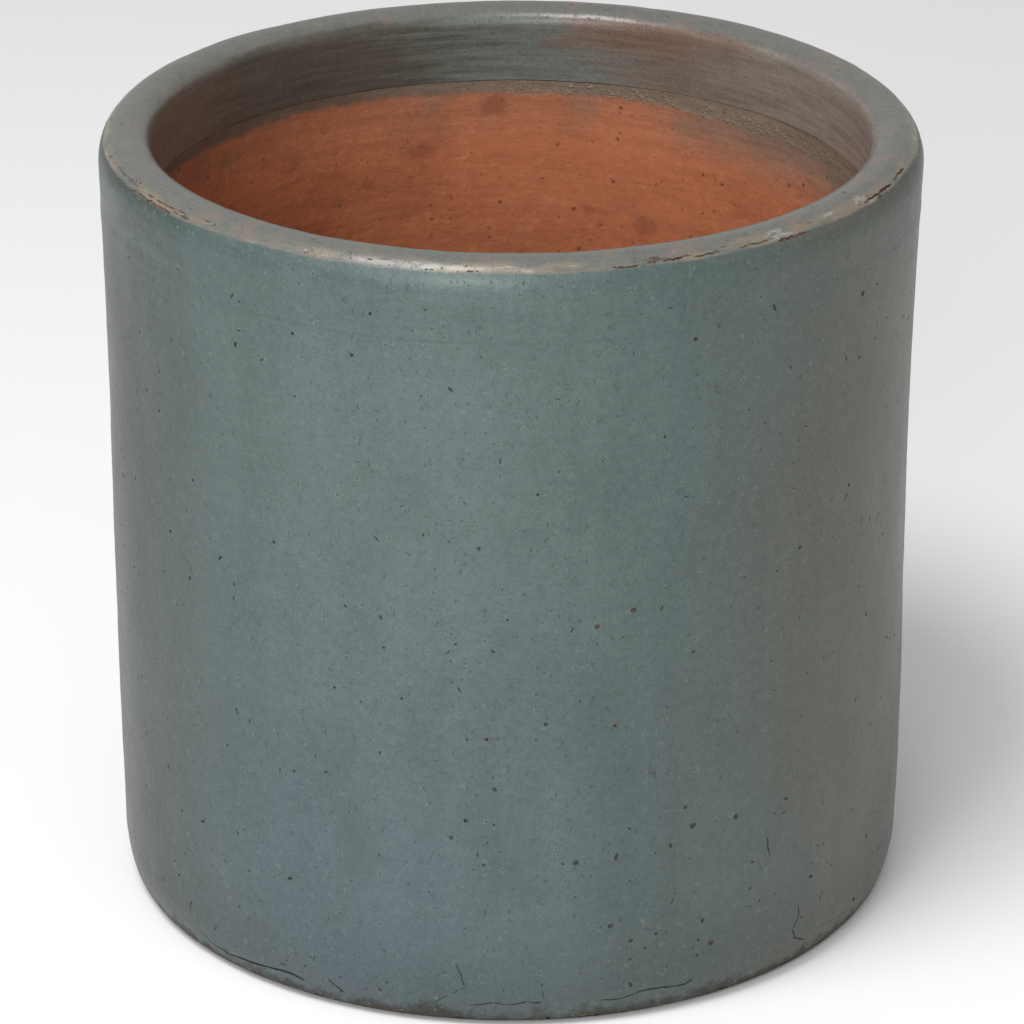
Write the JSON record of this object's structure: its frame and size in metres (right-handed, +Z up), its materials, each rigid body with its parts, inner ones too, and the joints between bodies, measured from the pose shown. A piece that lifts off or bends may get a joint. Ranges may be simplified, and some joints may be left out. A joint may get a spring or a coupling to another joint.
{
  "type": "plant pot",
  "caption": "Round straight-sided clay planter with a thick rolled rim, a grey-green glaze outside, bare terracotta inside and a drain hole in the floor.",
  "frame": {"origin": "centre of the foot, on the ground", "axes": "+Z up along the pot's axis of turning; the pot is round, so +X and +Y are free"},
  "size_m": [0.38, 0.38, 0.372],
  "materials": {
    "fired_clay": "bare, matt, fine-grained",
    "stone_glaze": "thin satin glaze, pitted and mottled, worn at the rim"
  },
  "bodies": {
    "root": {"base_slab": "fired_clay", "wall_drum": "fired_clay", "rim_coil": "fired_clay", "glaze_coat": "stone_glaze"}
  },
  "joints": []
}
